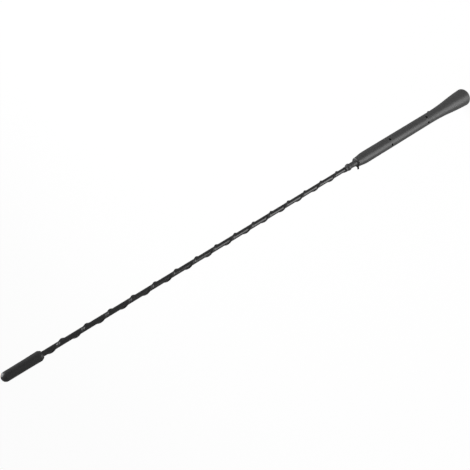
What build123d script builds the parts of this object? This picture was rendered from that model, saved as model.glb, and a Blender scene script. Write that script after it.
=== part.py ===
from build123d import *
from math import cos, radians, sin, sqrt
import os

# Car mast aerial: a moulded foot on a threaded insert, a sprung steel rod, a ribbed jacket and a tip cap.
# The foot's end face lies on the XY plane, the mast runs up +Z, and +X is the side the photo shows.
# Sizes are in millimetres and angles in degrees, measured from +X.

# Foot: flare, shank and shoulder
foot_radius = 8.88
rim_chamfer = 0.4
flare_turn_radius = 7.1
flare_turn_height = 27.0
flare_height = 58.0
shank_radius = 5.65
shoulder_height = 168.5
shoulder_length = 13.9
shoulder_turn_radius = 5.1
shoulder_turn_drop = 6.7
shoulder_radius = 4.55
shoulder_chamfer = 0.3

# Neck and ball-shaped bead, moulded on the foot
neck_root_radius = 2.8
neck_radius = 2.5
bead_rise = 10.0
bead_radius = 3.3
bead_mouth_radius = 2.45
bead_socket_depth = 4.4

# Core-pin holes and flash that the mould leaves on the foot
core_pin_radius = 0.8
core_pin_depth = 2.5
core_pin_heights = (65.5, 122.1)
mould_opening_angle = -10.0
core_pin_spread = 30.0
flash_thickness = 0.35
flash_root = 0.5
shoulder_flash_height = 1.35
shoulder_flash_width = 1.5
shoulder_flash_lean = 0.5
shank_flash_level = 55.2
shank_flash_height = 0.3
shank_flash_width = 1.7

# Threaded insert
thread_bore_radius = 2.1
thread_depth = 14.0
thread_chamfer = 0.45
insert_across_flats = 9.0
insert_length = 32.0
rod_socket_depth = 12.0

# Rod, and the jacket with its left-hand rib
rod_radius = 1.5
rod_chamfer = 0.25
jacket_radius = 1.97
mast_length = 318.7
rib_pitch = 20.61
rib_height = 0.8
rib_half_width = 2.8
rib_root = 0.1
rib_end_margin = 0.1
rib_angle_at_bead = -49.0

# Tip cap
cap_length = 30.7
cap_mouth_radius = 3.92
cap_radius = 3.68
cap_rim_chamfer = 0.5
cap_socket_depth = 10.0

# Clearances: moulded pieces round what they hold, and the rod in its socket and jacket
mould_gap = 0.03
rod_gap = 0.02

# Heights that follow from the sizes above
shoulder_start = shoulder_height - shoulder_length
bead_centre = shoulder_height + bead_rise
bead_bottom = bead_centre - sqrt(bead_radius**2 - neck_radius**2)
bead_top = bead_centre + sqrt(bead_radius**2 - bead_mouth_radius**2)
jacket_bottom = bead_top - bead_socket_depth
cap_mouth = bead_top + mast_length
jacket_top = cap_mouth + cap_socket_depth
cap_top = cap_mouth + cap_length
dome_base = cap_top - cap_radius
rod_bottom = insert_length - rod_socket_depth
rib_bottom = jacket_bottom + rib_half_width + rib_end_margin
rib_top = jacket_top - rib_half_width - rib_end_margin
os.makedirs("parts", exist_ok=True)


def radial(angle):
    """Unit vector that points out of the axis at an angle."""
    return Vector(cos(radians(angle)), sin(radians(angle)), 0)


def half_plane(angle, height=0.0):
    """Plane through the axis: its x runs outwards at the angle and its y runs up."""
    return Plane(origin=(0, 0, height), x_dir=radial(angle), z_dir=radial(angle).cross(Vector(0, 0, 1)))


def insert_form(grow):
    """Hexagon bar of the threaded insert, larger by grow all round for the cavity that holds it."""
    with BuildPart() as form:
        with BuildSketch():
            RegularPolygon(insert_across_flats / 2 + grow, 6, major_radius=False)
        extrude(amount=insert_length + grow)
    return form.part


def rib_form(start, end, grow):
    """Left-hand rib between two heights, larger by grow all round for the sockets that hold it."""
    start_angle = rib_angle_at_bead - 360 * (start - bead_top) / rib_pitch
    climb = Helix(rib_pitch, end - start, jacket_radius, center=(0, 0, start), lefthand=True)
    with BuildPart() as rib:
        with BuildSketch(half_plane(start_angle, start)):
            with BuildLine():
                Polyline(
                    (jacket_radius - rib_root, -rib_half_width - grow),
                    (jacket_radius + rib_height + grow, 0),
                    (jacket_radius - rib_root, rib_half_width + grow),
                    close=True,
                )
            make_face()
        sweep(path=climb.rotate(Axis.Z, start_angle), is_frenet=True)
    return rib.part


# Threaded insert: hexagon bar with a threaded hole below and the rod's socket above
insert_bar = insert_form(0)
with BuildPart() as threaded_insert:
    add(insert_bar)
    with BuildSketch():
        Circle(thread_bore_radius)
    extrude(amount=thread_depth, mode=Mode.SUBTRACT)
    with BuildSketch(Plane.XY.offset(insert_length)):
        Circle(rod_radius + rod_gap)
    extrude(amount=-rod_socket_depth, mode=Mode.SUBTRACT)
    chamfer(threaded_insert.edges().filter_by(GeomType.CIRCLE).group_by(Axis.Z)[0], thread_chamfer)
threaded_insert.part.label = "threaded_insert"

# Mast rod: sprung steel, from the insert's socket to the jacket's top
with BuildPart() as mast_rod:
    with BuildSketch(Plane.XY.offset(rod_bottom)):
        Circle(rod_radius)
    extrude(amount=jacket_top - rod_bottom)
    chamfer(mast_rod.edges().filter_by(GeomType.CIRCLE), rod_chamfer)
mast_rod.part.label = "mast_rod"

# Jacket: a tube on the rod with one rib that climbs it left-handed
jacket_rib = rib_form(rib_bottom, rib_top, 0)
with BuildPart() as mast_jacket:
    with BuildSketch(Plane.XY.offset(jacket_bottom)):
        Circle(jacket_radius)
    extrude(amount=jacket_top - jacket_bottom)
    add(jacket_rib)
    with BuildSketch(Plane.XY.offset(jacket_bottom)):
        Circle(rod_radius + rod_gap)
    extrude(amount=jacket_top - jacket_bottom, mode=Mode.SUBTRACT)
mast_jacket.part.label = "mast_jacket"

# Foot moulding: flare, shank, shoulder, neck and bead turned from one outline
core_pin_angles = [
    mould_opening_angle + side + spread
    for side in (0, 180)
    for spread in (-core_pin_spread, core_pin_spread)
]
insert_cavity = insert_form(mould_gap)
bead_rib_cavity = rib_form(rib_bottom - mould_gap, bead_top + rib_pitch / 2, mould_gap)
with BuildPart() as foot_moulding:
    with BuildSketch(Plane.XZ):
        with BuildLine():
            Polyline((0, 0), (foot_radius - rim_chamfer, 0), (foot_radius, rim_chamfer))
            flare_turn = (flare_turn_radius, flare_turn_height)
            flare_lead = TangentArc((shank_radius, flare_height), flare_turn, tangent=(0, -1))
            TangentArc(flare_turn, (foot_radius, rim_chamfer), tangent=flare_lead % 1)
            Line((shank_radius, flare_height), (shank_radius, shoulder_start))
            shoulder_turn = (shoulder_turn_radius, shoulder_height - shoulder_turn_drop)
            shoulder_edge = (shoulder_radius, shoulder_height - shoulder_chamfer)
            shoulder_lead = TangentArc((shank_radius, shoulder_start), shoulder_turn, tangent=(0, 1))
            TangentArc(shoulder_turn, shoulder_edge, tangent=shoulder_lead % 1)
            Polyline(
                shoulder_edge,
                (shoulder_radius - shoulder_chamfer, shoulder_height),
                (neck_root_radius, shoulder_height),
                (neck_radius, bead_bottom),
            )
            ThreePointArc((neck_radius, bead_bottom), (bead_radius, bead_centre), (bead_mouth_radius, bead_top))
            Polyline((bead_mouth_radius, bead_top), (0, bead_top), (0, 0))
        make_face()
    revolve(axis=Axis.Z)
    # Flash stands on the mould's parting line, at the shoulder's edge and low on the shank
    with BuildSketch(half_plane(mould_opening_angle - 90)):
        with BuildLine():
            Polyline(
                (shoulder_radius - flash_root, shoulder_height - shoulder_flash_width),
                (shoulder_radius + shoulder_chamfer, shoulder_height - shoulder_flash_width),
                (shoulder_radius + shoulder_flash_height, shoulder_height),
                (shoulder_radius + shoulder_flash_height, shoulder_height + shoulder_flash_lean),
                (shoulder_radius - flash_root, shoulder_height),
                close=True,
            )
        make_face()
    extrude(amount=flash_thickness / 2, both=True)
    with BuildSketch(half_plane(mould_opening_angle + 90, shank_flash_level)):
        with BuildLine():
            Polyline(
                (shank_radius - flash_root, -shank_flash_width / 2),
                (shank_radius + shank_flash_height, 0),
                (shank_radius - flash_root, shank_flash_width / 2),
                close=True,
            )
        make_face()
    extrude(amount=flash_thickness / 2, both=True)
    # Cavities: the insert, the rod through shank and neck, and the jacket's end in the bead
    add(insert_cavity, mode=Mode.SUBTRACT)
    with BuildSketch(Plane.XY.offset(insert_length)):
        Circle(rod_radius + mould_gap)
    extrude(amount=bead_top - insert_length, mode=Mode.SUBTRACT)
    with BuildSketch(Plane.XY.offset(jacket_bottom - mould_gap)):
        Circle(jacket_radius + mould_gap)
    extrude(amount=2 * bead_socket_depth, mode=Mode.SUBTRACT)
    add(bead_rib_cavity, mode=Mode.SUBTRACT)
    # Core-pin holes, two from each half of the mould on each level
    for angle in core_pin_angles:
        with BuildSketch(Plane(origin=(0, 0, 0), x_dir=(0, 0, 1), z_dir=radial(angle)).offset(shank_radius)):
            with Locations([(height, 0) for height in core_pin_heights]):
                Circle(core_pin_radius)
        extrude(amount=-core_pin_depth, mode=Mode.SUBTRACT)
foot_moulding.part.label = "foot_moulding"

# Tip cap: a domed cap that widens a little to its mouth, moulded round the jacket's top
cap_rib_cavity = rib_form(cap_mouth - rib_pitch / 2, rib_top + mould_gap, mould_gap)
with BuildPart() as tip_cap:
    with BuildSketch(Plane.XZ):
        with BuildLine():
            cap_rim = (cap_mouth_radius, cap_mouth + cap_rim_chamfer)
            Polyline((0, cap_top), (0, cap_mouth), (cap_mouth_radius - cap_rim_chamfer, cap_mouth), cap_rim)
            TangentArc((cap_radius, dome_base), cap_rim, tangent=(0, -1))
            CenterArc((0, dome_base), cap_radius, start_angle=0, arc_size=90)
        make_face()
    revolve(axis=Axis.Z)
    with BuildSketch(Plane.XY.offset(jacket_top + mould_gap)):
        Circle(jacket_radius + mould_gap)
    extrude(amount=cap_mouth - jacket_top - mould_gap, mode=Mode.SUBTRACT)
    add(cap_rib_cavity, mode=Mode.SUBTRACT)
tip_cap.part.label = "tip_cap"

export_step(threaded_insert.part, "parts/threaded_insert.step")
export_step(mast_rod.part, "parts/mast_rod.step")
export_step(mast_jacket.part, "parts/mast_jacket.step")
export_step(foot_moulding.part, "parts/foot_moulding.step")
export_step(tip_cap.part, "parts/tip_cap.step")
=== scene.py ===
"""Car mast aerial: the finished look of its five pieces, on a white studio floor.

Lengths are in metres and angles start at +X. A point of a turned outline is a complex number,
radius + height * 1j, so an outline turns and grows by plain arithmetic.
"""
import cmath
import math

import bmesh
import bpy
from bpy.props import FloatProperty, FloatVectorProperty, PointerProperty
from mathutils import Matrix, Vector


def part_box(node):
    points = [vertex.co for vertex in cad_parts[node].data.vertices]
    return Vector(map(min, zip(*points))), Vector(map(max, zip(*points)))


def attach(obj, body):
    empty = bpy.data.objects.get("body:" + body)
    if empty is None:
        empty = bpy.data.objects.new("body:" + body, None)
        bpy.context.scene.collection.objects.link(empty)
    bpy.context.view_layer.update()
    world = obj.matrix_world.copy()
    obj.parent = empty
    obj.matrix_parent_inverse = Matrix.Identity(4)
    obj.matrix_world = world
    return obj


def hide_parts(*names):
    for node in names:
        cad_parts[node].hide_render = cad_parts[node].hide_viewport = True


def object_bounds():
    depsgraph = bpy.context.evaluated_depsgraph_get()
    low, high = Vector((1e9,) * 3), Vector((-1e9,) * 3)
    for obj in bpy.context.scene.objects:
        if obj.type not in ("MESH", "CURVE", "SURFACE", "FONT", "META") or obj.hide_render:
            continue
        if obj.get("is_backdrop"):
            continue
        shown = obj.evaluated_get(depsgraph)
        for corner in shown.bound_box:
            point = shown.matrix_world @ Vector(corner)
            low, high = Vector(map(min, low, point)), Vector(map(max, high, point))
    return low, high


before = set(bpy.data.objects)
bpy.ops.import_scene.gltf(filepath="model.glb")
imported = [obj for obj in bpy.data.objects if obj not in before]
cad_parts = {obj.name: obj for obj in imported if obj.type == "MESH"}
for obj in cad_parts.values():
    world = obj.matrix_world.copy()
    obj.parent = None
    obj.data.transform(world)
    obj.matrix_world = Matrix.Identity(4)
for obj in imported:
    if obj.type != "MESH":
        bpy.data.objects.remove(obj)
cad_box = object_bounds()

bl_info = {
    "name": "Car mast aerial",
    "version": (1, 0, 0),
    "blender": (4, 5, 0),
    "location": "View3D > Sidebar > Aerial",
    "description": "Builds the finished pieces of a car mast aerial and a studio to picture them in",
    "category": "Object",
}

MM = 0.001
FULL_TURN = 2 * math.pi

FOOT_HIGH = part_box("foot_moulding")[1]
INSERT_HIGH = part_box("threaded_insert")[1]
JACKET_LOW, JACKET_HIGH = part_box("mast_jacket")
CAP_LOW, CAP_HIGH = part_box("tip_cap")
ROD_LOW, ROD_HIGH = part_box("mast_rod")


# Properties

def length(name, description, metres):
    """A length that a user may change."""
    return FloatProperty(name=name, description=description, default=metres, unit="LENGTH", precision=5)


def angle(name, description, degrees):
    """An angle that a user may change."""
    return FloatProperty(name=name, description=description, default=math.radians(degrees), subtype="ANGLE")


def amount(name, description, value, unit="NONE"):
    """A plain number that a user may change."""
    return FloatProperty(name=name, description=description, default=value, unit=unit)


def linear(code):
    """Linear red, green and blue of an sRGB hex colour."""
    parts = [int(code[i:i + 2], 16) / 255 for i in (1, 3, 5)]
    return tuple(p / 12.92 if p <= 0.04045 else ((p + 0.055) / 1.055) ** 2.4 for p in parts)


def colour(name, description, code):
    """A colour that a user may change, from its sRGB hex value."""
    return FloatVectorProperty(
        name=name, description=description, default=linear(code), subtype="COLOR", min=0, max=1
    )


class AERIAL_PG_foot(bpy.types.PropertyGroup):
    """Sizes and colours of the foot moulding"""

    radius: length("Foot radius", "Radius of the flared end", FOOT_HIGH.x)
    rim_round: length("Rim rounding", "Rounding between the flare and the end face", 0.7 * MM)
    flare_turn_radius: length("Flare turn radius", "Radius where the flare stops curving out", 7.1 * MM)
    flare_turn_height: length("Flare turn height", "Height where the flare stops curving out", 27 * MM)
    flare_height: length("Flare height", "Height where the flare runs into the shank", 58 * MM)
    shank_radius: length("Shank radius", "Radius of the plain shank", 5.65 * MM)
    shoulder_start: length("Shoulder start", "Height where the shank starts to draw in", 154.6 * MM)
    shoulder_turn_radius: length("Shoulder turn radius", "Radius halfway along the shoulder", 5.1 * MM)
    shoulder_turn_height: length("Shoulder turn height", "Height halfway along the shoulder", 161.8 * MM)
    shoulder_radius: length("Shoulder radius", "Radius of the shoulder's end", 4.55 * MM)
    shoulder_height: length("Shoulder height", "Height of the shoulder's end face", 168.5 * MM)
    shoulder_round: length("Shoulder rounding", "Rounding of the shoulder's edge", 1.1 * MM)
    neck_root_radius: length("Neck root radius", "Radius of the neck at the shoulder", 2.8 * MM)
    neck_round: length("Neck rounding", "Rounding where the neck meets the shoulder", 0.4 * MM)
    neck_radius: length("Neck radius", "Radius of the neck at the bead", 2.5 * MM)
    bead_centre: length("Bead centre", "Height of the ball-shaped bead's centre", 178.7 * MM)
    bead_radius: length("Bead radius", "Radius of the bead", 3.3 * MM)
    lip_thickness: length("Lip thickness", "Thickness of the lip that runs up the jacket", 0.12 * MM)
    lip_height: length("Lip height", "Height where the lip on the jacket ends", 183.3 * MM)
    lip_tilt: angle("Lip tilt", "How far the lip's end leans down to the side of the flash", 30)
    core_pin_radius: length("Core-pin radius", "Radius of the holes that the core pins leave", 0.8 * MM)
    core_pin_depth: length("Core-pin depth", "Depth of the holes that the core pins leave", 2.5 * MM)
    core_pin_round: length("Core-pin edge", "Rounding of the holes' edges", 0.4 * MM)
    core_pin_low: length("Lower core pins", "Height of the lower ring of holes", 65.5 * MM)
    core_pin_high: length("Upper core pins", "Height of the upper ring of holes", 122.1 * MM)
    core_pin_spread: angle("Core-pin spread", "Angle from the mould's opening to a hole", 30)
    mould_angle: angle("Mould angle", "Direction in which the mould opens", -10)
    seam_height: length("Seam height", "How far the parting line stands proud", 0.04 * MM)
    shoulder_flash: length("Shoulder flash", "How far the flash stands out at the shoulder", 2.0 * MM)
    shoulder_flash_reach: length("Shoulder flash reach", "Length of the flash on the shoulder", 1.5 * MM)
    shoulder_flash_lean: angle("Shoulder flash lean", "How far the shoulder's flash leans to the tip", 28)
    shank_flash: length("Shank flash", "How far the flash stands out on the shank", 1.0 * MM)
    shank_flash_height: length("Shank flash height", "Height of the flash on the shank", 55.2 * MM)
    shank_flash_reach: length("Shank flash reach", "Half the length of the flash on the shank", 1.1 * MM)
    # Up to this height above the rim the foot's colour is made lighter in grainy patches
    lighter_rim_height: length("Lighter rim height", "Height up to which the rim is scuffed", 2.2 * MM)
    charcoal: colour("Charcoal", "Colour of the foot's elastomer", "#383838")
    # Painted shade: near-black laid where shade falls, in the core-pin holes, on the flash and in a ring
    # above the bead's lip
    painted_shade: colour("Painted shade", "Colour of the grime in holes and on edges", "#0b0b0b")


class AERIAL_PG_insert(bpy.types.PropertyGroup):
    """Sizes and colours of the threaded insert and of the rod"""

    edge_round: length("Insert edge", "Chamfer on the hexagon's ends", 0.2 * MM)
    thread_radius: length("Thread radius", "Radius of the thread's roots", 2.5 * MM)
    thread_bore_radius: length("Thread bore", "Radius of the thread's crests", 2.1 * MM)
    thread_pitch: length("Thread pitch", "Climb of the thread in one turn", 0.8 * MM)
    thread_depth: length("Thread depth", "Depth of the threaded hole", 14 * MM)
    thread_chamfer: length("Thread chamfer", "Lead-in at the hole's mouth", 0.45 * MM)
    socket_radius: length("Rod socket", "Radius of the socket that holds the rod", 1.52 * MM)
    brass: colour("Brass", "Colour of the insert's brass", "#c9a765")
    tarnish: colour("Tarnish", "Colour of brass that has dulled", "#8f7443")
    steel: colour("Steel", "Colour of the rod's drawn steel", "#8f9194")


class AERIAL_PG_mast(bpy.types.PropertyGroup):
    """Sizes and colours of the jacket and the tip cap"""

    jacket_radius: length("Jacket radius", "Radius of the jacket between the rib's turns", 1.97 * MM)
    bore_radius: length("Jacket bore", "Radius of the jacket's bore", 1.52 * MM)
    rib_height: length("Rib height", "How far the rib stands out of the jacket", 0.8 * MM)
    rib_round: length("Rib rounding", "Rounding of the rib's crest", 0.5 * MM)
    rib_pitch: length("Rib pitch", "Climb of the rib in one turn", 20.61 * MM)
    rib_start: length("Rib start", "Height where the rib starts to rise, inside the bead", 178.4 * MM)
    rib_run_in: length("Rib run-in", "Height in which the rib rises to its full size", 1.8 * MM)
    rib_angle: angle("Rib angle", "Direction of the rib's crest at the bead's mouth", -49.0)
    socket_gap: length("Socket gap", "Clearance of the moulded pieces round the jacket", 0.03 * MM)
    cap_mouth_radius: length("Cap mouth radius", "Radius of the cap at its mouth", 3.92 * MM)
    cap_radius: length("Cap radius", "Radius of the cap's dome", 3.68 * MM)
    cap_mouth: length("Cap mouth", "Height of the cap's mouth", CAP_LOW.z - 0.6 * MM)
    cap_taper_width: length("Cap taper width", "How far the cap's mouth draws in", 1.0 * MM)
    cap_taper_height: length("Cap taper height", "Height in which the cap's mouth draws in", 1.8 * MM)
    cap_rim_round: length("Cap rim rounding", "Rounding where the cap's mouth starts to draw in", 1.5 * MM)
    # Top of the ring of painted shade on the jacket above the bead's lip
    shade_ring_height: length("Grime height", "Height up to which grime sits above the bead's lip", 185.5 * MM)
    jacket_black: colour("Jacket black", "Colour of the jacket's plastic", "#242424")
    cap_black: colour("Cap black", "Colour of the cap's plastic", "#272727")


class AERIAL_PG_stage(bpy.types.PropertyGroup):
    """Camera, lamps and floor"""

    view_tilt: angle("View tilt", "How far the view looks down along the mast", 30.6)
    mast_slope: angle("Mast slope", "Slope of the mast across the picture", 31.39)
    aim_height: length("Aim height", "Height on the mast that the camera looks at", 317.4 * MM)
    aim_side: length("Aim side", "How far beside the mast the camera looks", 1.01 * MM)
    distance: length("Distance", "Distance from the camera to what it looks at", 608.2 * MM)
    lens: amount("Lens", "Focal length of the camera", 57.45, "CAMERA")
    floor_size: length("Floor size", "Width of the floor", 16.0)
    floor_pale: colour("Floor", "Colour of the pale floor", "#f2f2f2")
    floor_shadow: amount("Shadow", "How much of a shadow the floor shows", 0.05)
    ambient: amount("Ambient", "Strength of the light from all round", 0.42)
    gloss_share: amount("Gloss share", "How much of the white surround a glossy surface shows", 0.28)
    key_power: amount("Key lamp", "Power of the high lamp", 32, "POWER")
    key_place: FloatVectorProperty(
        name="Key lamp place", description="Where the high lamp hangs", default=(-0.35, 1.1, 1.25),
        subtype="TRANSLATION", unit="LENGTH",
    )
    key_aim: length("Key lamp aim", "Height on the mast that the high lamp shines at", 0.45)
    key_size: length("Key lamp size", "Width of the square high lamp", 1.1)
    low_power: amount("Low lamp", "Power of the low lamp", 5.5, "POWER")
    low_angle: angle("Low lamp angle", "Direction of the low lamp from the mast", -36)
    low_distance: length("Low lamp distance", "Distance of the low lamp from the mast", 0.6)
    low_top: length("Low lamp top", "Height of the low lamp's upper edge", 0.03)
    low_width: length("Low lamp width", "Width of the low lamp", 0.66)
    low_height: length("Low lamp height", "Height of the low lamp from edge to edge", 0.66)


# Outlines

def arc_between(start, tangent, end, steps):
    """Points after start on the arc that leaves it along a tangent and ends at end, and the last tangent."""
    half_turn = cmath.phase((end - start) / tangent)
    radius = abs(end - start) / (2 * math.sin(half_turn))
    points = []
    for step in range(1, steps + 1):
        turn = 2 * half_turn * step / steps
        points.append(start + tangent * radius * complex(math.sin(turn), 1 - math.cos(turn)))
    return points, tangent * cmath.exp(2j * half_turn)


def rounded(corners, steps=6):
    """Outline through corners given as (point, rounding radius); the two ends stay as they are."""
    points = [corners[0][0]]
    for (before, _), (corner, radius), (after, _) in zip(corners, corners[1:], corners[2:]):
        way_in = (corner - before) / abs(corner - before)
        way_out = (after - corner) / abs(after - corner)
        reach = radius * math.tan(abs(cmath.phase(way_out / way_in)) / 2)
        start, end = corner - way_in * reach, corner + way_out * reach
        points.append(start)
        points += arc_between(start, way_in, end, steps)[0]
    points.append(corners[-1][0])
    return points


def straight(start, end, steps):
    """Points after start on the line to end."""
    return [start + (end - start) * step / steps for step in range(1, steps + 1)]


# Ring forms: the radius at an angle, for a point of the outline

def round_ring(point, turn):
    """Plain turned form."""
    return point.real


def hexagon_ring(point, turn):
    """Hexagon with corners on X; the point's radius is half its width across flats."""
    return point.real / math.cos(turn % (FULL_TURN / 6) - FULL_TURN / 12)


def rib_direction(mast, height):
    """Direction of the rib's crest at a height: it climbs left-handed from the bead's mouth."""
    return mast.rib_angle - FULL_TURN * (height - FOOT_HIGH.z) / mast.rib_pitch


def jacket_section(mast, turn, height):
    """Radius of the jacket at an angle and a height, as of a sheath over a round core and a strand."""
    turn = abs((turn - rib_direction(mast, height) + math.pi) % FULL_TURN - math.pi)
    rise = min(1, max(0, (height - mast.rib_start) / mast.rib_run_in))
    strand = mast.jacket_radius + rise * mast.rib_height - mast.rib_round
    lean = math.acos((mast.jacket_radius - mast.rib_round) / strand)
    crest_edge = strand + mast.rib_round * cmath.exp(1j * lean)
    if turn >= lean:
        return mast.jacket_radius
    if turn >= cmath.phase(crest_edge):
        return mast.jacket_radius / math.cos(lean - turn)
    return strand * math.cos(turn) + math.sqrt(mast.rib_round ** 2 - (strand * math.sin(turn)) ** 2)


def flash_side(foot):
    """Direction of the parting line that has the shoulder's flash."""
    return foot.mould_angle - math.pi / 2


def socket_ring(mast):
    """Ring form of a socket moulded round the ribbed jacket; the point's radius is the clearance."""
    def form(point, turn):
        return jacket_section(mast, turn, point.imag) + point.real
    return form


def bead_ring(mast, lip):
    """Ring form of the ball-shaped bead, which closes over the rib with a lip of a given thickness."""
    def form(point, turn):
        return max(point.real, jacket_section(mast, turn, point.imag) + lip)
    return form


# Meshes

def ring(point, form, columns):
    """Points round the axis for one point of an outline."""
    turns = [FULL_TURN * column / columns for column in range(columns)]
    return [
        (form(point, turn) * math.cos(turn), form(point, turn) * math.sin(turn), point.imag) for turn in turns
    ]


def bridge(rows, columns, closed, left_out=()):
    """Quads between neighbouring rings, and from the last to the first where the outline is closed."""
    faces = []
    for row in range(rows if closed else rows - 1):
        above = (row + 1) % rows
        for column in range(columns):
            if (row, column) in left_out:
                continue
            beside = (column + 1) % columns
            low, high = row * columns, above * columns
            faces.append((low + column, low + beside, high + beside, high + column))
    return faces


def close_end(verts, faces, first, columns, height):
    """Closes a ring with a fan to a point on the axis."""
    verts.append((0, 0, height))
    for column in range(columns):
        faces.append((first + column, first + (column + 1) % columns, len(verts) - 1))


def add_piece(name, verts, faces, materials, replaced, sharp_degrees, second_from=None):
    """New piece of the aerial from points and faces, standing for a node of the frame.

    Edges bent by more than sharp_degrees stay sharp. The faces from number second_from on take the second
    of two materials.
    """
    mesh = bpy.data.meshes.new(name)
    mesh.from_pydata(verts, [], faces)
    for material in materials:
        mesh.materials.append(material)
    if second_from:
        for face in mesh.polygons[second_from:]:
            face.material_index = 1
    work = bmesh.new()
    work.from_mesh(mesh)
    bmesh.ops.delete(work, geom=[v for v in work.verts if not v.link_faces], context="VERTS")
    bmesh.ops.recalc_face_normals(work, faces=work.faces)
    work.to_mesh(mesh)
    work.free()
    mesh.shade_smooth()
    mesh.set_sharp_from_angle(angle=math.radians(sharp_degrees))
    piece = bpy.data.objects.new(name, mesh)
    bpy.context.scene.collection.objects.link(piece)
    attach(piece, "root")
    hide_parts(replaced)


# Materials

# Sockets of the mix node for colours go by number, because their names repeat
MIX_SHARE, MIX_FIRST, MIX_SECOND, MIX_RESULT = 0, 6, 7, 2


def add_node(tree, kind, inputs=None, **settings):
    """New node with its settings; inputs gives a value, or a socket to link from, for each input."""
    made = tree.nodes.new(kind)
    for name, value in settings.items():
        setattr(made, name, value)
    for socket, value in (inputs or {}).items():
        if isinstance(value, bpy.types.NodeSocket):
            tree.links.new(value, made.inputs[socket])
        else:
            made.inputs[socket].default_value = value
    return made


def new_material(name):
    """New node material, its tree, its surface shader and the place on the piece in metres."""
    material = bpy.data.materials.new(name)
    material.use_nodes = True
    tree = material.node_tree
    place = add_node(tree, "ShaderNodeTexCoord").outputs["Object"]
    return material, tree, tree.nodes["Principled BSDF"], place


def per_size(millimetres):
    """Texture scale that repeats in a real size."""
    return 1 / (millimetres * MM)


def shade_of(tint, share):
    """A colour made lighter or darker by a share, with full alpha."""
    return (*[min(1, part * share) for part in tint], 1)


def moulded_elastomer(foot):
    """Thermoplastic elastomer, injection moulded against a blasted tool: a satin, slightly cloudy charcoal.

    The grain of such a tool is near 0.2 mm; it is drawn at 0.9 mm so that it shows.
    """
    material, tree, surface, place = new_material("moulded_elastomer")
    cloud = add_node(tree, "ShaderNodeTexNoise", {"Vector": place, "Scale": per_size(14), "Detail": 3.0})
    grain = add_node(tree, "ShaderNodeTexNoise", {"Vector": place, "Scale": per_size(0.9), "Detail": 2.0})
    dark, light = shade_of(foot.charcoal, 0.86), shade_of(foot.charcoal, 1.14)
    tint = add_node(
        tree, "ShaderNodeMix",
        {MIX_SHARE: cloud.outputs["Fac"], MIX_FIRST: dark, MIX_SECOND: light}, data_type="RGBA",
    )
    height = add_node(tree, "ShaderNodeSeparateXYZ", {"Vector": place}).outputs["Z"]
    # Lighter colour in grainy patches from the rim up to a height
    fully_lightened = 0.3 * MM
    near_rim = add_node(
        tree, "ShaderNodeMapRange",
        {"Value": height, "From Min": foot.lighter_rim_height, "From Max": fully_lightened},
    )
    rim_lightening = add_node(
        tree, "ShaderNodeMath", {0: near_rim.outputs["Result"], 1: grain.outputs["Fac"]}, operation="MULTIPLY"
    )
    bare, lighter_tone = tint.outputs[MIX_RESULT], shade_of(foot.charcoal, 1.6)
    lightened = add_node(
        tree, "ShaderNodeMix",
        {MIX_SHARE: rim_lightening.outputs[0], MIX_FIRST: bare, MIX_SECOND: lighter_tone}, data_type="RGBA",
    )
    tree.links.new(lightened.outputs[MIX_RESULT], surface.inputs["Base Color"])
    satin = add_node(
        tree, "ShaderNodeMapRange", {"Value": cloud.outputs["Fac"], "To Min": 0.36, "To Max": 0.47}
    )
    tree.links.new(satin.outputs["Result"], surface.inputs["Roughness"])
    bump = add_node(
        tree, "ShaderNodeBump", {"Height": grain.outputs["Fac"], "Strength": 0.35, "Distance": 0.03 * MM}
    )
    tree.links.new(bump.outputs["Normal"], surface.inputs["Normal"])
    surface.inputs["IOR"].default_value = 1.49
    return material


def painted_shade_black(foot):
    """Painted shade: a dull near-black with no shine on the core-pin holes' walls and floors and on the
    flash.
    """
    material, tree, surface, place = new_material("painted_shade_black")
    speckle = add_node(tree, "ShaderNodeTexNoise", {"Vector": place, "Scale": per_size(0.5), "Detail": 2.0})
    dark, light = shade_of(foot.painted_shade, 0.6), shade_of(foot.painted_shade, 1.4)
    tint = add_node(
        tree, "ShaderNodeMix",
        {MIX_SHARE: speckle.outputs["Fac"], MIX_FIRST: dark, MIX_SECOND: light}, data_type="RGBA",
    )
    tree.links.new(tint.outputs[MIX_RESULT], surface.inputs["Base Color"])
    surface.inputs["Roughness"].default_value = 0.9
    surface.inputs["Specular IOR Level"].default_value = 0.1
    return material


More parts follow.
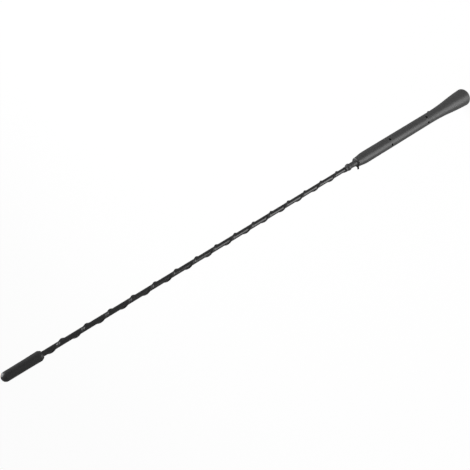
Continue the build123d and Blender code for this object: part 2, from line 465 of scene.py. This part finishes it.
def extruded_polyethylene(mast, foot):
    """Polyethylene, extruded as a sheath: deep black with a soft gloss and faint draw lines along the mast.

    A ring above the bead's lip, its edge tilted along the lip's end, has painted shade in its colour and a
    rough finish without shine.
    """
    material, tree, surface, place = new_material("extruded_polyethylene")
    drawn = add_node(tree, "ShaderNodeMapping", {"Vector": place, "Scale": (1, 1, 0.06)})
    lines = add_node(
        tree, "ShaderNodeTexNoise", {"Vector": drawn.outputs["Vector"], "Scale": per_size(0.7), "Detail": 2.0}
    )
    waver = add_node(tree, "ShaderNodeTexNoise", {"Vector": place, "Scale": per_size(4.5), "Detail": 2.0})
    dark, light = shade_of(mast.jacket_black, 0.8), shade_of(mast.jacket_black, 1.25)
    tint = add_node(
        tree, "ShaderNodeMix",
        {MIX_SHARE: waver.outputs["Fac"], MIX_FIRST: dark, MIX_SECOND: light}, data_type="RGBA",
    )
    # Ring of painted shade above the bead's lip, its top leaning like the lip's end
    tilt = math.tan(foot.lip_tilt)
    lean = (tilt * math.cos(flash_side(foot)), tilt * math.sin(flash_side(foot)), 1)
    level = add_node(tree, "ShaderNodeVectorMath", {0: place, 1: lean}, operation="DOT_PRODUCT")
    shade_ring_fade = 0.4 * MM
    outside_ring = add_node(
        tree, "ShaderNodeMapRange",
        {
            "Value": level.outputs["Value"],
            "From Min": mast.shade_ring_height - shade_ring_fade,
            "From Max": mast.shade_ring_height,
        },
    )
    # Painted shade turns the jacket's colour near-black in the ring
    painted_shade, bare = shade_of(foot.painted_shade, 1.0), tint.outputs[MIX_RESULT]
    ring_shaded = add_node(
        tree, "ShaderNodeMix",
        {MIX_SHARE: outside_ring.outputs["Result"], MIX_FIRST: painted_shade, MIX_SECOND: bare}, data_type="RGBA",
    )
    tree.links.new(ring_shaded.outputs[MIX_RESULT], surface.inputs["Base Color"])
    gloss = add_node(
        tree, "ShaderNodeMapRange", {"Value": waver.outputs["Fac"], "To Min": 0.18, "To Max": 0.29}
    )
    dulled = add_node(
        tree, "ShaderNodeMapRange",
        {"Value": outside_ring.outputs["Result"], "To Min": 0.95, "To Max": gloss.outputs["Result"]},
    )
    tree.links.new(dulled.outputs["Result"], surface.inputs["Roughness"])
    lined = add_node(
        tree, "ShaderNodeBump", {"Height": lines.outputs["Fac"], "Strength": 0.3, "Distance": 0.02 * MM}
    )
    bump = add_node(
        tree, "ShaderNodeBump",
        {
            "Height": waver.outputs["Fac"],
            "Strength": 0.4,
            "Distance": 0.12 * MM,
            "Normal": lined.outputs["Normal"],
        },
    )
    tree.links.new(bump.outputs["Normal"], surface.inputs["Normal"])
    surface.inputs["IOR"].default_value = 1.5
    return material


def moulded_polypropylene(mast):
    """Polypropylene, injection moulded: a satin black greyer than the jacket, with a fine orange peel.

    The peel of such a moulding is near 0.3 mm; it is drawn at 1.1 mm so that it shows.
    """
    material, tree, surface, place = new_material("moulded_polypropylene")
    peel = add_node(tree, "ShaderNodeTexNoise", {"Vector": place, "Scale": per_size(1.1), "Detail": 2.0})
    cloud = add_node(tree, "ShaderNodeTexNoise", {"Vector": place, "Scale": per_size(7), "Detail": 2.0})
    dark, light = shade_of(mast.cap_black, 0.85), shade_of(mast.cap_black, 1.18)
    tint = add_node(
        tree, "ShaderNodeMix",
        {MIX_SHARE: cloud.outputs["Fac"], MIX_FIRST: dark, MIX_SECOND: light}, data_type="RGBA",
    )
    tree.links.new(tint.outputs[MIX_RESULT], surface.inputs["Base Color"])
    satin = add_node(
        tree, "ShaderNodeMapRange", {"Value": peel.outputs["Fac"], "To Min": 0.34, "To Max": 0.45}
    )
    tree.links.new(satin.outputs["Result"], surface.inputs["Roughness"])
    bump = add_node(
        tree, "ShaderNodeBump", {"Height": peel.outputs["Fac"], "Strength": 0.35, "Distance": 0.04 * MM}
    )
    tree.links.new(bump.outputs["Normal"], surface.inputs["Normal"])
    surface.inputs["IOR"].default_value = 1.49
    return material


def turned_brass(insert):
    """Free-cutting brass, turned from bar: bright yellow metal with ring marks, dulled in patches."""
    material, tree, surface, place = new_material("turned_brass")
    rings = add_node(
        tree, "ShaderNodeTexWave",
        {"Vector": place, "Scale": per_size(0.9), "Distortion": 0.6, "Detail": 1.0},
        wave_type="RINGS", rings_direction="Z",
    )
    patches = add_node(tree, "ShaderNodeTexNoise", {"Vector": place, "Scale": per_size(3), "Detail": 3.0})
    dull, bright = shade_of(insert.tarnish, 1.0), shade_of(insert.brass, 1.0)
    tint = add_node(
        tree, "ShaderNodeMix",
        {MIX_SHARE: patches.outputs["Fac"], MIX_FIRST: dull, MIX_SECOND: bright}, data_type="RGBA",
    )
    tree.links.new(tint.outputs[MIX_RESULT], surface.inputs["Base Color"])
    polish = add_node(
        tree, "ShaderNodeMapRange", {"Value": patches.outputs["Fac"], "To Min": 0.44, "To Max": 0.24}
    )
    tree.links.new(polish.outputs["Result"], surface.inputs["Roughness"])
    bump = add_node(
        tree, "ShaderNodeBump", {"Height": rings.outputs["Fac"], "Strength": 0.3, "Distance": 0.015 * MM}
    )
    tree.links.new(bump.outputs["Normal"], surface.inputs["Normal"])
    surface.inputs["Metallic"].default_value = 1.0
    return material


def drawn_steel(insert):
    """Spring steel, cold drawn: grey metal with fine lines along the rod."""
    material, tree, surface, place = new_material("drawn_steel")
    drawn = add_node(tree, "ShaderNodeMapping", {"Vector": place, "Scale": (1, 1, 0.02)})
    lines = add_node(
        tree, "ShaderNodeTexNoise", {"Vector": drawn.outputs["Vector"], "Scale": per_size(0.3), "Detail": 3.0}
    )
    dark, light = shade_of(insert.steel, 0.8), shade_of(insert.steel, 1.15)
    tint = add_node(
        tree, "ShaderNodeMix",
        {MIX_SHARE: lines.outputs["Fac"], MIX_FIRST: dark, MIX_SECOND: light}, data_type="RGBA",
    )
    tree.links.new(tint.outputs[MIX_RESULT], surface.inputs["Base Color"])
    polish = add_node(
        tree, "ShaderNodeMapRange", {"Value": lines.outputs["Fac"], "To Min": 0.28, "To Max": 0.42}
    )
    tree.links.new(polish.outputs["Result"], surface.inputs["Roughness"])
    surface.inputs["Metallic"].default_value = 1.0
    return material


# Foot

# Columns round the foot, and the cells along each side of the square block that gives way to a hole
FOOT_COLUMNS = 144
HOLE_CELLS = 12
HOLE_BLOCK = 3.0 * MM
# Rows along the foot's curves
FLARE_STEPS = 60
SKIRT_STEPS = 30
SHOULDER_STEPS = 12
EDGE_STEPS = 26
BEAD_STEPS = 28
LIP_STEPS = 10
SOCKET_STEPS = 24
# Distance between the plain shank's rows, and width of the end face's outer ring
SHANK_SPAN = 8 * MM
RIM_RING = 1.6 * MM
# Rows this near to the shoulder's edge, in roundings, give way to the rounding
EDGE_CLEARANCE = 1.1
# The lip's tilt starts at this share of the bead's radius above its centre
TILT_START = 0.75
# Share of the flash's height by columns from the seam, and how fast it rises along its length
FLASH_SHARES = (1.0, 0.95, 0.4)
FLASH_RISE = 4
# How far in from the shoulder's edge the flash is rooted, as a share of the edge's rounding
FLASH_ROOT = 0.8
# Painted shade goes on the flash's faces where it stands out by this share of the shank's flash
SHADED_FLASH_SHARE = 0.25
# Rings from a block's edge to a hole's mouth, the bevel, the wall's depths and the floor's ring, as shares
MOUTH_SHARES = (0.4, 0.75, 1)
BEVEL_SHARE = 0.3
WALL_SHARES = (0.05, 0.35, 0.7, 0.96)
FLOOR_SHARE = 0.8


def shank_heights(foot):
    """Heights of the shank's rings: close together round the core-pin holes, and wide apart elsewhere."""
    heights = []
    last = foot.flare_height
    for level in (foot.core_pin_low, foot.core_pin_high):
        block = [level + HOLE_BLOCK * (cell / HOLE_CELLS - 0.5) for cell in range(HOLE_CELLS + 1)]
        gap = block[0] - last
        spans = max(1, round(gap / SHANK_SPAN))
        heights += [last + gap * span / spans for span in range(1, spans)] + block
        last = block[-1]
    gap = foot.shoulder_start - last
    spans = round(gap / SHANK_SPAN)
    return heights + [last + gap * span / spans for span in range(1, spans + 1)]


def foot_rows(foot, mast):
    """Rows of the foot as (form, point): the end face, the outside up to the bead's mouth, and the bore."""
    hexagon = INSERT_HIGH.y + mast.socket_gap
    socket = socket_ring(mast)
    rim_in = complex(foot.radius - RIM_RING, 0)
    flare_turn = complex(foot.flare_turn_radius, foot.flare_turn_height)
    flare_top = complex(foot.shank_radius, foot.flare_height)
    lead, lead_out = arc_between(flare_top, -1j, flare_turn, FLARE_STEPS)
    rim = complex(foot.radius, foot.rim_round)
    skirt, _ = arc_between(flare_turn, lead_out, rim, SKIRT_STEPS)
    outside = rounded([(rim_in, 0), (complex(foot.radius, 0), foot.rim_round), (skirt[-2], 0)])
    outside += skirt[-3::-1] + [flare_turn] + lead[-2::-1] + [flare_top]
    outside += [complex(foot.shank_radius, height) for height in shank_heights(foot)]
    shoulder_turn = complex(foot.shoulder_turn_radius, foot.shoulder_turn_height)
    shoulder_edge = complex(foot.shoulder_radius, foot.shoulder_height)
    shoulder, shoulder_out = arc_between(outside[-1], 1j, shoulder_turn, SHOULDER_STEPS)
    drawn_in, _ = arc_between(shoulder_turn, shoulder_out, shoulder_edge, EDGE_STEPS)
    clearance = EDGE_CLEARANCE * foot.shoulder_round
    outside += shoulder + [point for point in drawn_in if abs(point - shoulder_edge) > clearance]
    bead_bottom = foot.bead_centre - math.sqrt(foot.bead_radius ** 2 - foot.neck_radius ** 2)
    shoulder_end = outside.pop()
    outside += rounded(
        [
            (shoulder_end, 0),
            (shoulder_edge, foot.shoulder_round),
            (complex(foot.neck_root_radius, foot.shoulder_height), foot.neck_round),
            (complex(foot.neck_radius, bead_bottom), 0),
        ]
    )
    lip = mast.socket_gap + foot.lip_thickness
    ball = 1j * foot.bead_centre
    bead_start = outside[-1] - ball
    bead_reach = mast.jacket_radius + lip
    bead_end = ball + complex(bead_reach, math.sqrt(foot.bead_radius ** 2 - bead_reach ** 2))
    bead, _ = arc_between(outside[-1], 1j * bead_start / abs(bead_start), bead_end, BEAD_STEPS)
    rows = [(hexagon_ring, complex(hexagon, 0))]
    rows += [(round_ring, point) for point in outside]
    rows += [(bead_ring(mast, lip), point) for point in bead]
    lip_run = straight(complex(lip, bead_end.imag), complex(lip, foot.lip_height), LIP_STEPS)
    socket_low = JACKET_LOW.z - mast.socket_gap
    socket_top = complex(mast.socket_gap, foot.lip_height)
    socket_run = straight(socket_top, complex(mast.socket_gap, socket_low), SOCKET_STEPS)
    rows += [(socket, point) for point in (*lip_run, socket_top, *socket_run)]
    bore = ROD_HIGH.x + mast.socket_gap
    insert_top = INSERT_HIGH.z + mast.socket_gap
    rows += [(round_ring, complex(bore, socket_low)), (round_ring, complex(bore, insert_top))]
    rows += [(hexagon_ring, complex(hexagon, insert_top))]
    return rows, len(outside) + len(bead)


def lip_drop(foot, mast, height, turn):
    """How much lower a point of the lip on the jacket lies for the tilt of the lip's end."""
    bead_top = foot.bead_centre + TILT_START * foot.bead_radius
    share = max(0, (height - bead_top) / (foot.lip_height - bead_top))
    return share * mast.jacket_radius * math.tan(foot.lip_tilt) * math.cos(turn - flash_side(foot))


def mark_of_mould(foot, point, from_seam, near_side):
    """How far the parting line and its flash move a point outwards and up, by columns from the seam."""
    if from_seam >= len(FLASH_SHARES):
        return 0j
    moved = complex(foot.seam_height if from_seam == 0 else 0)
    share = FLASH_SHARES[from_seam]
    if near_side:
        on_side = foot.shoulder_radius - FLASH_ROOT * foot.shoulder_round < point.real < foot.shank_radius
        above = (point.imag - foot.shoulder_height) / foot.shoulder_flash_reach + 1
        standing = min(1, max(0, FLASH_RISE * above)) if on_side else 0
        out = foot.shoulder_radius + foot.shoulder_flash - point.real
        up = foot.shoulder_flash * math.tan(foot.shoulder_flash_lean) * above
        moved += share * standing * complex(out, up)
    else:
        away = abs(point.imag - foot.shank_flash_height)
        moved += share * foot.shank_flash * max(0, 1 - away / foot.shank_flash_reach)
    return moved


def foot_points(foot, mast, rows, outside):
    """Points of the foot's rows, and the numbers of those that stand out as flash."""
    step = FULL_TURN / FOOT_COLUMNS
    seams = [round(way / step) % FOOT_COLUMNS for way in (flash_side(foot), flash_side(foot) + math.pi)]
    verts = []
    flash = set()
    for index, (form, point) in enumerate(rows):
        for column in range(FOOT_COLUMNS):
            turn = column * step
            placed = point - 1j * lip_drop(foot, mast, point.imag, turn)
            radius, height = form(placed, turn), placed.imag
            if 1 <= index <= outside:
                for seam, near_side in zip(seams, (True, False)):
                    apart = abs((column - seam + FOOT_COLUMNS // 2) % FOOT_COLUMNS - FOOT_COLUMNS // 2)
                    moved = mark_of_mould(foot, point, apart, near_side)
                    radius, height = radius + moved.real, height + moved.imag
                    # Faces at points of the flash that stand out this far take painted shade
                    if moved.real > SHADED_FLASH_SHARE * foot.shank_flash:
                        flash.add(len(verts))
            verts.append((radius * math.cos(turn), radius * math.sin(turn), height))
    return verts, flash


def hole_blocks(foot, heights):
    """Blocks of the foot's grid that give way to core-pin holes, as (edge, turn, level), and their cells."""
    step = FULL_TURN / FOOT_COLUMNS
    cells = range(HOLE_CELLS)
    holes = []
    left_out = set()
    for level in (foot.core_pin_low, foot.core_pin_high):
        low = min(range(len(heights)), key=lambda row: abs(heights[row] - level + HOLE_BLOCK / 2))
        for side in (0, math.pi):
            for spread in (-foot.core_pin_spread, foot.core_pin_spread):
                centre = round((foot.mould_angle + side + spread) / step)
                left = centre - HOLE_CELLS // 2
                columns = [(left + cell) % FOOT_COLUMNS for cell in range(HOLE_CELLS + 1)]
                edge = [low * FOOT_COLUMNS + columns[cell] for cell in cells]
                edge += [(low + cell) * FOOT_COLUMNS + columns[-1] for cell in cells]
                edge += [(low + HOLE_CELLS) * FOOT_COLUMNS + columns[-1 - cell] for cell in cells]
                edge += [(low + HOLE_CELLS - cell) * FOOT_COLUMNS + columns[0] for cell in cells]
                left_out.update((low + row, column) for row in cells for column in columns[:-1])
                holes.append((edge, centre * step, level))
    return holes, left_out


def cut_core_pin(verts, faces, shaded_faces, foot, edge, turn, level):
    """Rings from a block of the shank's grid to a round hole, down its wall and over its floor, which take
    painted shade.
    """
    flat = []
    for x, y, z in (verts[i] for i in edge):
        beside = (math.atan2(y, x) - turn + math.pi) % FULL_TURN - math.pi
        flat.append(complex(beside * foot.shank_radius, z - level))
    last = edge
    mouth = foot.core_pin_radius + foot.core_pin_round
    bevel = BEVEL_SHARE * foot.core_pin_round
    steps = [(share, mouth, 0) for share in MOUTH_SHARES]
    steps += [(1, foot.core_pin_radius + bevel, bevel)]
    steps += [(1, foot.core_pin_radius, share * foot.core_pin_depth) for share in WALL_SHARES]
    steps += [(1, FLOOR_SHARE * foot.core_pin_radius, foot.core_pin_depth)]
    for share, radius, depth in steps:
        first = len(verts)
        for spot in flat:
            at = spot * (1 - share) + share * radius * spot / abs(spot)
            if depth:
                spoke = complex(foot.shank_radius - depth, at.real) * cmath.exp(1j * turn)
            else:
                spoke = cmath.rect(foot.shank_radius, turn + at.real / foot.shank_radius)
            verts.append((spoke.real, spoke.imag, level + at.imag))
        count = len(flat)
        for side in range(count):
            beside = (side + 1) % count
            # Faces down in the hole take painted shade
            (shaded_faces if depth else faces).append((last[side], last[beside], first + beside, first + side))
        last = list(range(first, first + count))
    out = foot.shank_radius - foot.core_pin_depth
    verts.append((out * math.cos(turn), out * math.sin(turn), level))
    for side in range(len(last)):
        shaded_faces.append((last[side], last[(side + 1) % len(last)], len(verts) - 1))


class AERIAL_OT_foot(bpy.types.Operator):
    """Build the foot moulding with its core-pin holes, parting line and flash"""

    bl_idname = "aerial.foot"
    bl_label = "Foot moulding"

    def execute(self, context):
        foot, mast = context.scene.aerial_foot, context.scene.aerial_mast
        rows, outside = foot_rows(foot, mast)
        verts, flash = foot_points(foot, mast, rows, outside)
        # Rows that aren't on the outside get a height that no hole is near
        heights = [point.imag if 1 <= index <= outside else -1 for index, (_, point) in enumerate(rows)]
        holes, left_out = hole_blocks(foot, heights)
        sides = bridge(len(rows), FOOT_COLUMNS, True, left_out)
        # Faces on the flash take painted shade, as the holes' walls do
        faces = [face for face in sides if flash.isdisjoint(face)]
        shaded_faces = [face for face in sides if not flash.isdisjoint(face)]
        for edge, turn, level in holes:
            cut_core_pin(verts, faces, shaded_faces, foot, edge, turn, level)
        # The second material is painted shade for the holes and the flash
        materials = [moulded_elastomer(foot), painted_shade_black(foot)]
        add_piece(
            "aerial_foot", verts, faces + shaded_faces, materials, "foot_moulding",
            sharp_degrees=50, second_from=len(faces),
        )
        return {"FINISHED"}


# Insert and rod

INSERT_COLUMNS = 48
# Rows in one turn of the thread, and how steep its flanks are against a plain zigzag
THREAD_ROWS = 12
THREAD_STEEP = 1.25


def thread_ring(insert):
    """Ring form of the right-hand thread, cut away by the chamfer at the hole's mouth."""
    def form(point, turn):
        phase = (point.imag / insert.thread_pitch - turn / FULL_TURN) % 1
        zigzag = 1 - abs(2 * phase - 1)
        tooth = min(1, max(0, THREAD_STEEP * (zigzag - 0.5) + 0.5))
        cut = insert.thread_bore_radius + (insert.thread_radius - insert.thread_bore_radius) * tooth
        return max(cut, insert.thread_bore_radius + insert.thread_chamfer - point.imag)
    return form


class AERIAL_OT_insert(bpy.types.Operator):
    """Build the brass insert with its threaded hole, and finish the steel rod"""

    bl_idname = "aerial.insert"
    bl_label = "Threaded insert and rod"

    def execute(self, context):
        insert = context.scene.aerial_insert
        half_width, top = INSERT_HIGH.y, INSERT_HIGH.z
        edge, depth = insert.edge_round, insert.thread_depth
        thread = thread_ring(insert)
        rows = [
            (hexagon_ring, complex(half_width - edge, 0)),
            (hexagon_ring, complex(half_width, edge)),
            (hexagon_ring, complex(half_width, top - edge)),
            (hexagon_ring, complex(half_width - edge, top)),
            (round_ring, complex(insert.socket_radius, top)),
            (round_ring, complex(insert.socket_radius, ROD_LOW.z)),
        ]
        verts = [spot for form, point in rows for spot in ring(point, form, INSERT_COLUMNS)]
        faces = bridge(len(rows), INSERT_COLUMNS, False)
        close_end(verts, faces, (len(rows) - 1) * INSERT_COLUMNS, INSERT_COLUMNS, ROD_LOW.z)
        steps = round(depth / insert.thread_pitch * THREAD_ROWS)
        hole = len(verts)
        for step in range(steps + 1):
            verts += ring(complex(0, depth * step / steps), thread, INSERT_COLUMNS)
        faces += [tuple(hole + i for i in face) for face in bridge(steps + 1, INSERT_COLUMNS, False)]
        for column in range(INSERT_COLUMNS):
            beside = (column + 1) % INSERT_COLUMNS
            faces.append((column, beside, hole + beside, hole + column))
        close_end(verts, faces, hole + steps * INSERT_COLUMNS, INSERT_COLUMNS, depth)
        add_piece(
            "aerial_insert", verts, faces, [turned_brass(insert)], "threaded_insert",
            sharp_degrees=30,
        )
        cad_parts["mast_rod"].material_slots[0].material = drawn_steel(insert)
        return {"FINISHED"}


# Jacket and cap

JACKET_COLUMNS = 72
# The rib's turn from one row of the jacket to the next
ROW_TURN = math.radians(10)
CAP_COLUMNS = 96
# Rows along the cap's side, dome and socket
CAP_SIDE_STEPS = 16
CAP_DOME_STEPS = 18
CAP_SOCKET_STEPS = 20


class AERIAL_OT_jacket(bpy.types.Operator):
    """Build the jacket: a sheath whose one rib climbs it left-handed"""

    bl_idname = "aerial.jacket"
    bl_label = "Ribbed jacket"

    def execute(self, context):
        mast = context.scene.aerial_mast
        low, high = JACKET_LOW.z, JACKET_HIGH.z
        step = FULL_TURN / JACKET_COLUMNS
        rows = round((high - low) / mast.rib_pitch * FULL_TURN / ROW_TURN)
        verts = []
        for row in range(rows + 1):
            height = low + (high - low) * row / rows
            crest = rib_direction(mast, height)
            for column in range(JACKET_COLUMNS):
                turn = crest + column * step
                radius = jacket_section(mast, turn, height)
                verts.append((radius * math.cos(turn), radius * math.sin(turn), height))
        faces = bridge(rows + 1, JACKET_COLUMNS, False)
        bore = len(verts)
        first = rib_direction(mast, low)
        for height in (low, high):
            for column in range(JACKET_COLUMNS):
                turn = first + column * step
                verts.append((mast.bore_radius * math.cos(turn), mast.bore_radius * math.sin(turn), height))
        faces += [tuple(bore + i for i in face) for face in bridge(2, JACKET_COLUMNS, False)]
        # The top ring's columns have turned with the rib, and the bore's have not
        twist = round((rib_direction(mast, high) - first) / step)
        outer, inner = rows * JACKET_COLUMNS, bore + JACKET_COLUMNS
        for column in range(JACKET_COLUMNS):
            beside = (column + 1) % JACKET_COLUMNS
            faces.append((column, beside, bore + beside, bore + column))
            turned, turned_beside = (column + twist) % JACKET_COLUMNS, (beside + twist) % JACKET_COLUMNS
            faces.append((outer + column, outer + beside, inner + turned_beside, inner + turned))
        material = extruded_polyethylene(mast, context.scene.aerial_foot)
        add_piece("aerial_jacket", verts, faces, [material], "mast_jacket", sharp_degrees=60)
        return {"FINISHED"}


class AERIAL_OT_cap(bpy.types.Operator):
    """Build the domed tip cap with its socket for the jacket's end"""

    bl_idname = "aerial.cap"
    bl_label = "Tip cap"

    def execute(self, context):
        mast = context.scene.aerial_mast
        mouth, top = mast.cap_mouth, CAP_HIGH.z
        base = complex(mast.cap_radius, top - mast.cap_radius)
        rim = complex(mast.cap_mouth_radius, mouth + mast.cap_taper_height)
        side, _ = arc_between(base, -1j, rim, CAP_SIDE_STEPS)
        dome, _ = arc_between(base, 1j, complex(0, top), CAP_DOME_STEPS)
        mouth_edge = complex(mast.cap_mouth_radius - mast.cap_taper_width, mouth)
        outside = rounded([(mouth_edge, 0), (rim, mast.cap_rim_round), (side[-2], 0)])
        outside += side[-3::-1] + [base] + dome[:-1]
        socket = socket_ring(mast)
        socket_top = complex(mast.socket_gap, JACKET_HIGH.z + mast.socket_gap)
        socket_run = straight(socket_top, complex(mast.socket_gap, mouth), CAP_SOCKET_STEPS)
        rows = [(socket, point) for point in socket_run]
        rows += [(round_ring, point) for point in outside]
        verts = [spot for form, point in rows for spot in ring(point, form, CAP_COLUMNS)]
        faces = bridge(len(rows), CAP_COLUMNS, False)
        close_end(verts, faces, 0, CAP_COLUMNS, rows[0][1].imag)
        close_end(verts, faces, (len(rows) - 1) * CAP_COLUMNS, CAP_COLUMNS, top)
        add_piece(
            "aerial_cap", verts, faces, [moulded_polypropylene(mast)], "tip_cap",
            sharp_degrees=50,
        )
        return {"FINISHED"}


# Stage

def seen_by(tree):
    """Two shares: 1 for rays from the eye or through glass, else 0, and 1 for rays off a gloss, else 0."""
    rays = add_node(tree, "ShaderNodeLightPath")
    eye = add_node(
        tree, "ShaderNodeMath",
        {0: rays.outputs["Is Camera Ray"], 1: rays.outputs["Is Transmission Ray"]}, operation="MAXIMUM",
    )
    return eye.outputs[0], rays.outputs["Is Glossy Ray"]


def white_paper(stage):
    """White paper, calendered: white to the eye, with the object's faint shadow."""
    material, tree, surface, _ = new_material("white_paper")
    surface.inputs["Base Color"].default_value = (*stage.floor_pale, 1)
    surface.inputs["Roughness"].default_value = 0.9
    eye, _ = seen_by(tree)
    share = add_node(tree, "ShaderNodeMath", {0: eye, 1: 1 - stage.floor_shadow}, operation="MULTIPLY")
    white = add_node(tree, "ShaderNodeEmission", {"Strength": 1.0})
    mixed = add_node(
        tree, "ShaderNodeMixShader", {0: share.outputs[0], 1: surface.outputs[0], 2: white.outputs[0]}
    )
    tree.links.new(mixed.outputs[0], tree.nodes["Material Output"].inputs["Surface"])
    return material


def studio_world(stage):
    """Surround that is white to the eye, dimmer in a gloss, and gives a plain even light."""
    world = bpy.data.worlds.new("studio")
    world.use_nodes = True
    tree = world.node_tree
    eye, gloss = seen_by(tree)
    lit = add_node(
        tree, "ShaderNodeMapRange", {"Value": gloss, "To Min": stage.ambient, "To Max": stage.gloss_share}
    )
    strength = add_node(tree, "ShaderNodeMath", {0: eye, 1: lit.outputs["Result"]}, operation="MAXIMUM")
    tree.links.new(strength.outputs[0], tree.nodes["Background"].inputs["Strength"])
    tree.nodes["Background"].inputs["Color"].default_value = (1, 1, 1, 1)
    return world


def add_lamp(name, place, aim, width, height, power):
    """Soft lamp that shines at a point."""
    lamp = bpy.data.lights.new(name, "AREA")
    lamp.shape = "RECTANGLE"
    lamp.size = width
    lamp.size_y = height
    lamp.energy = power
    piece = bpy.data.objects.new(name, lamp)
    piece.location = place
    piece.rotation_euler = (Vector(aim) - Vector(place)).to_track_quat("-Z", "Y").to_euler()
    piece.visible_camera = False
    bpy.context.scene.collection.objects.link(piece)


class AERIAL_OT_stage(bpy.types.Operator):
    """Set up the camera, the lamps, the white surround and the floor"""

    bl_idname = "aerial.stage"
    bl_label = "Studio"

    def execute(self, context):
        scene, stage = context.scene, context.scene.aerial_stage
        scene.view_settings.view_transform = "Standard"
        scene.world = studio_world(stage)
        floor_mesh = bpy.data.meshes.new("floor")
        half = stage.floor_size / 2
        corners = [(-half, -half, 0), (half, -half, 0), (half, half, 0), (-half, half, 0)]
        floor_mesh.from_pydata(corners, [], [(0, 1, 2, 3)])
        floor_mesh.materials.append(white_paper(stage))
        floor = bpy.data.objects.new("floor", floor_mesh)
        scene.collection.objects.link(floor)
        floor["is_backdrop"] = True
        floor.visible_glossy = False
        floor.visible_shadow = False
        key_aim = (0, 0, stage.key_aim)
        add_lamp("key_lamp", stage.key_place, key_aim, stage.key_size, stage.key_size, stage.key_power)
        low_level = Vector((0, 0, stage.low_top - stage.low_height / 2))
        low_way = Vector((math.cos(stage.low_angle), math.sin(stage.low_angle), 0))
        add_lamp(
            "low_lamp", low_level + low_way * stage.low_distance, low_level,
            stage.low_width, stage.low_height, stage.low_power,
        )
        tilt, slope = stage.view_tilt, stage.mast_slope
        back = Vector((math.cos(tilt), 0, math.sin(tilt)))
        down_mast = Vector((math.sin(tilt), 0, -math.cos(tilt)))
        across = Vector((0, 1, 0))
        right = math.cos(slope) * down_mast - math.sin(slope) * across
        up = math.sin(slope) * down_mast + math.cos(slope) * across
        camera = bpy.data.objects.new("camera", bpy.data.cameras.new("camera"))
        camera.data.lens = stage.lens
        camera.data.clip_start = 0.01
        camera.data.clip_end = 100
        turn = Matrix((right, up, back)).transposed()
        aim = Vector((0, stage.aim_side, stage.aim_height))
        camera.matrix_world = Matrix.Translation(aim + back * stage.distance) @ turn.to_4x4()
        scene.collection.objects.link(camera)
        scene.camera = camera
        return {"FINISHED"}


class AERIAL_PT_pieces(bpy.types.Panel):
    """List of the pieces and the studio"""

    bl_idname = "AERIAL_PT_pieces"
    bl_label = "Car mast aerial"
    bl_space_type = "VIEW_3D"
    bl_region_type = "UI"
    bl_category = "Aerial"

    def draw(self, context):
        for operator in OPERATORS:
            self.layout.operator(operator.bl_idname)


GROUPS = {
    "aerial_foot": AERIAL_PG_foot,
    "aerial_insert": AERIAL_PG_insert,
    "aerial_mast": AERIAL_PG_mast,
    "aerial_stage": AERIAL_PG_stage,
}
OPERATORS = (AERIAL_OT_foot, AERIAL_OT_insert, AERIAL_OT_jacket, AERIAL_OT_cap, AERIAL_OT_stage)


def register():
    """Adds the settings, the operators and the panel."""
    for name, group in GROUPS.items():
        bpy.utils.register_class(group)
        setattr(bpy.types.Scene, name, PointerProperty(type=group))
    for item in (*OPERATORS, AERIAL_PT_pieces):
        bpy.utils.register_class(item)


def unregister():
    """Takes away what register adds."""
    for item in (AERIAL_PT_pieces, *reversed(OPERATORS)):
        bpy.utils.unregister_class(item)
    for name, group in reversed(GROUPS.items()):
        delattr(bpy.types.Scene, name)
        bpy.utils.unregister_class(group)


def main():
    """Builds every piece and the studio."""
    register()
    bpy.ops.aerial.foot()
    bpy.ops.aerial.insert()
    bpy.ops.aerial.jacket()
    bpy.ops.aerial.cap()
    bpy.ops.aerial.stage()
    boxes = {"cad": cad_box, "visual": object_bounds()}
    {name: [list(corner) for corner in box] for name, box in boxes.items()}


if __name__ == "__main__":
    main()
